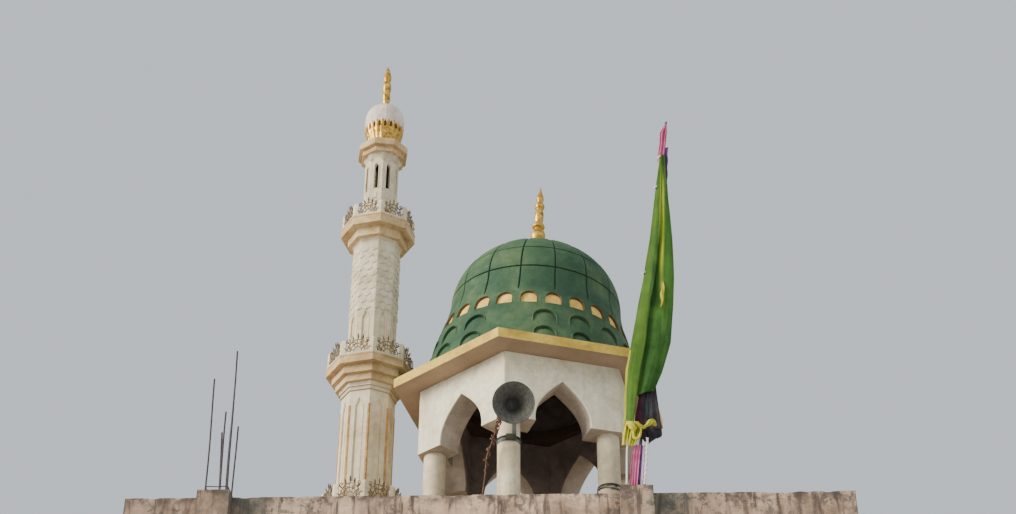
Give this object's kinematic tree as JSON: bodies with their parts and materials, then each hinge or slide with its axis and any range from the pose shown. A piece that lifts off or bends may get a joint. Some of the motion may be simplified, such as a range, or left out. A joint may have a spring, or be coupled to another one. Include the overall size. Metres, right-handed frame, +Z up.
{
  "type": "mosque building",
  "caption": "Small mosque building: plain plastered storeys with pointed openings and, on the roof, an arched kiosk with a ribbed dome, a slender minaret, a horn speaker and a flag.",
  "frame": {"origin": "on the ground, at the middle of the building's bounding box", "axes": "+Z up, the front with the doorway faces -Y, +X to the right of someone who faces the front"},
  "size_m": [6.7, 6.7, 14.7403],
  "materials": {
    "bare_plaster": "weathered, stained cement plaster",
    "painted_plaster": "cream lime paint on plaster, dusty",
    "yellow_paint": "matt ochre paint on concrete",
    "green_paint": "weathered green paint on plaster",
    "gold_paint": "dull gilded metal",
    "grey_metal": "dusty grey paint",
    "rusty_steel": "rusted bar",
    "green_cloth": "thin woven cloth with a yellow edge",
    "dark_cloth": "dark furled cloth",
    "pink_cloth": "wrapped thin cloth",
    "cable_sheath": "dusty brown sheath"
  },
  "bodies": {
    "root": {"back_left_pier": "bare_plaster", "back_parapet": "bare_plaster", "back_right_pier": "bare_plaster", "back_wall_lower": "bare_plaster", "back_wall_upper": "bare_plaster", "cable_conduit": "grey_metal", "dark_banner": "dark_cloth", "dome_finial": "gold_paint", "dome_shell": "green_paint", "first_floor_slab": "bare_plaster", "flag_cloth": "green_cloth", "flagpole": "grey_metal", "front_left_pier": "bare_plaster", "front_parapet": "bare_plaster", "front_right_pier": "bare_plaster", "front_wall_lower": "bare_plaster", "front_wall_upper": "bare_plaster", "horn_bracket": "grey_metal", "horn_lead": "cable_sheath", "horn_speaker": "grey_metal", "kiosk_arch_1": "painted_plaster", "kiosk_arch_2": "painted_plaster", "kiosk_arch_3": "painted_plaster", "kiosk_arch_4": "painted_plaster", "kiosk_arch_5": "painted_plaster", "kiosk_arch_6": "painted_plaster", "kiosk_column_1": "painted_plaster", "kiosk_column_2": "painted_plaster", "kiosk_column_3": "painted_plaster", "kiosk_column_4": "painted_plaster", "kiosk_column_5": "painted_plaster", "kiosk_column_6": "painted_plaster", "kiosk_eave": "yellow_paint", "left_parapet": "bare_plaster", "left_wall_lower": "bare_plaster", "left_wall_upper": "bare_plaster", "minaret_ball_dome": "painted_plaster", "minaret_base_railing": "yellow_paint", "minaret_base_slab": "painted_plaster", "minaret_crown": "painted_plaster", "minaret_finial": "gold_paint", "minaret_lantern": "painted_plaster", "minaret_lower_cornice": "painted_plaster", "minaret_lower_railing": "yellow_paint", "minaret_lower_shaft": "painted_plaster", "minaret_middle_shaft": "painted_plaster", "minaret_pedestal": "painted_plaster", "minaret_upper_cornice": "painted_plaster", "minaret_upper_railing": "yellow_paint", "plinth_floor": "bare_plaster", "pole_wrap": "pink_cloth", "right_parapet": "bare_plaster", "right_wall_lower": "bare_plaster", "right_wall_upper": "bare_plaster", "roof_slab": "bare_plaster", "starter_bars": "rusty_steel"}
  },
  "joints": []
}
